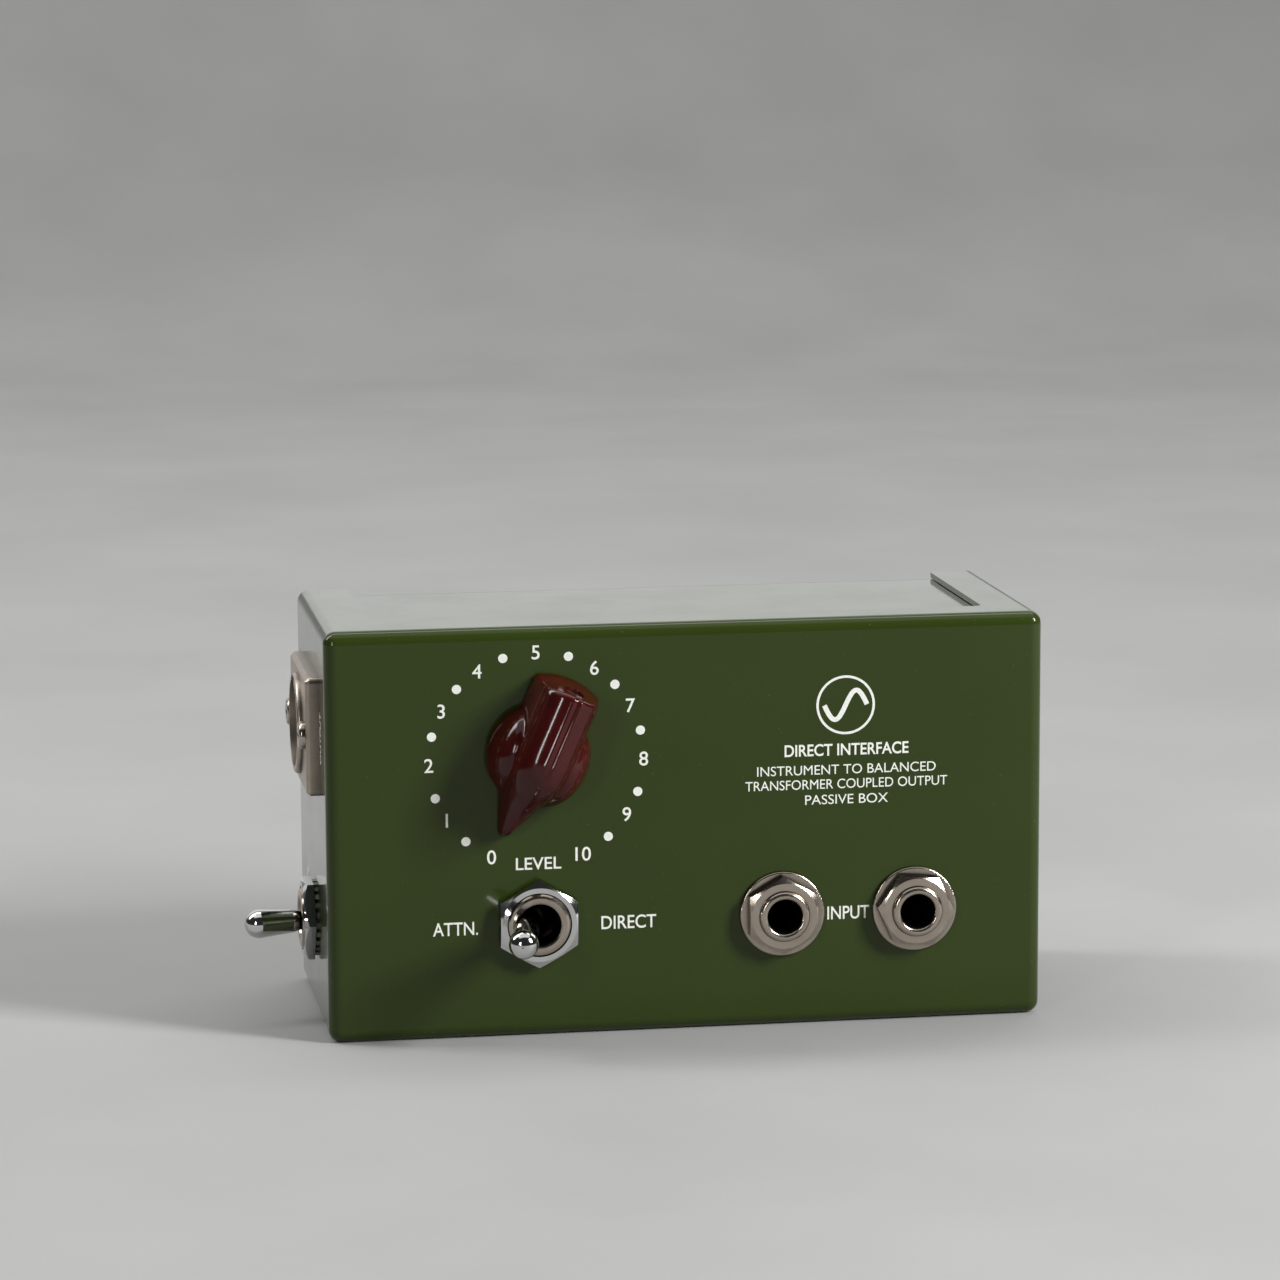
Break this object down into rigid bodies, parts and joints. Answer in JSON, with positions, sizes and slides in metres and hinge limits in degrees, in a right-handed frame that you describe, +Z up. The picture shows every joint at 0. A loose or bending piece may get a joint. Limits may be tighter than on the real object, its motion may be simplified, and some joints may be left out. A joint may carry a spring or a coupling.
{
  "type": "direct injection box",
  "caption": "Passive direct injection box: painted sheet-metal case with a pointer level knob, bat toggles, phone jacks and a three-pin output socket.",
  "frame": {"origin": "centre of the rim that the case stands on", "axes": "+X along the case to the right of the controls, -Y out of the control face, +Z up"},
  "size_m": [0.1469, 0.0772, 0.0762],
  "materials": {
    "print_white": "satin",
    "case_paint": "satin",
    "knob_gloss": "gloss",
    "chrome_parts": "polished",
    "nickel_parts": "satin",
    "zinc_steel": "satin",
    "brass_contacts": "satin",
    "phenolic": "matte",
    "black_plastic": "satin",
    "rubber_black": "matte",
    "core_steel": "matte",
    "winding_tape": "satin",
    "wire_sleeve": "satin"
  },
  "bodies": {
    "enclosure": {"front_shell": "case_paint", "rear_shell": "case_paint", "case_screws": "chrome_parts", "rubber_feet": "rubber_black", "level_pot_washer": "nickel_parts", "level_pot_nut": "nickel_parts", "level_pot_lock_washer": "zinc_steel", "level_pot_bushing": "brass_contacts", "level_pot_can": "zinc_steel", "level_pot_wafer": "phenolic", "level_pot_lugs": "brass_contacts", "toggle_lock_washers": "zinc_steel", "toggle_nuts": "chrome_parts", "toggle_back_nuts": "zinc_steel", "pad_switch_bushing": "nickel_parts", "pad_switch_frame": "zinc_steel", "pad_switch_case": "phenolic", "pad_switch_lugs": "brass_contacts", "lift_switch_bushing": "nickel_parts", "lift_switch_frame": "zinc_steel", "lift_switch_case": "phenolic", "lift_switch_lugs": "brass_contacts", "jack_washers": "nickel_parts", "jack_nuts": "nickel_parts", "jack_insulators": "phenolic", "jack_tip_lugs": "brass_contacts", "jack_rivets": "brass_contacts", "left_jack_sleeve": "nickel_parts", "right_jack_sleeve": "nickel_parts", "output_socket_shell": "nickel_parts", "output_socket_insert": "black_plastic", "output_socket_pins": "brass_contacts", "output_socket_screws": "chrome_parts", "output_socket_nuts": "zinc_steel", "transformer_core": "core_steel", "transformer_bobbin": "black_plastic", "transformer_winding": "winding_tape", "transformer_bracket": "zinc_steel", "tag_board": "phenolic", "tag_board_foot": "zinc_steel", "tag_lugs": "brass_contacts", "pad_resistors": "winding_tape", "chassis_screws": "chrome_parts", "chassis_nuts": "zinc_steel", "input_wires": "wire_sleeve", "level_wires": "wire_sleeve", "output_wires": "wire_sleeve", "ground_wires": "wire_sleeve"},
    "level_rotor": {"level_pot_rotor": "phenolic", "level_pot_shaft": "zinc_steel", "level_knob": "knob_gloss", "knob_set_screw": "brass_contacts"},
    "pad_lever": {"pad_switch_lever": "chrome_parts"},
    "pad_rocker": {"pad_switch_rocker": "brass_contacts"},
    "lift_lever": {"lift_switch_lever": "chrome_parts"},
    "lift_rocker": {"lift_switch_rocker": "brass_contacts"},
    "left_tip_spring": {"left_jack_tip_spring": "brass_contacts"},
    "right_tip_spring": {"right_jack_tip_spring": "brass_contacts"}
  },
  "joints": [
    {"name": "level_turn", "type": "hinge", "parent": "enclosure", "child": "level_rotor", "pos_m": [-0.028, -0.02699, 0.0527], "axis": [0, 1, 0], "range_deg": [0, 310]},
    {"name": "pad_throw", "type": "hinge", "parent": "enclosure", "child": "pad_lever", "pos_m": [-0.0281, -0.01979, 0.0214], "axis": [0, 0, 1], "range_deg": [0, 23]},
    {"name": "pad_rock", "type": "hinge", "parent": "enclosure", "child": "pad_rocker", "pos_m": [-0.0281, -0.01279, 0.0214], "axis": [0, 0, 1], "range_deg": [-18, 0]},
    {"name": "lift_throw", "type": "hinge", "parent": "enclosure", "child": "lift_lever", "pos_m": [-0.05948, 0, 0.018], "axis": [0, 0, -1], "range_deg": [0, 23]},
    {"name": "lift_rock", "type": "hinge", "parent": "enclosure", "child": "lift_rocker", "pos_m": [-0.05248, 0, 0.018], "axis": [0, 0, -1], "range_deg": [-18, 0]},
    {"name": "left_tip_flex", "type": "hinge", "parent": "enclosure", "child": "left_tip_spring", "pos_m": [0.0174, -0.02329, 0.02905], "axis": [1, 0, 0], "range_deg": [0, 5], "stiffness_Nm_per_rad": 0.05},
    {"name": "right_tip_flex", "type": "hinge", "parent": "enclosure", "child": "right_tip_spring", "pos_m": [0.0424, -0.02329, 0.02905], "axis": [1, 0, 0], "range_deg": [0, 5], "stiffness_Nm_per_rad": 0.05}
  ],
  "couplings": [
    {"joint": "pad_rock", "follows": "pad_throw", "ratio": -0.78261},
    {"joint": "lift_rock", "follows": "lift_throw", "ratio": -0.78261}
  ]
}
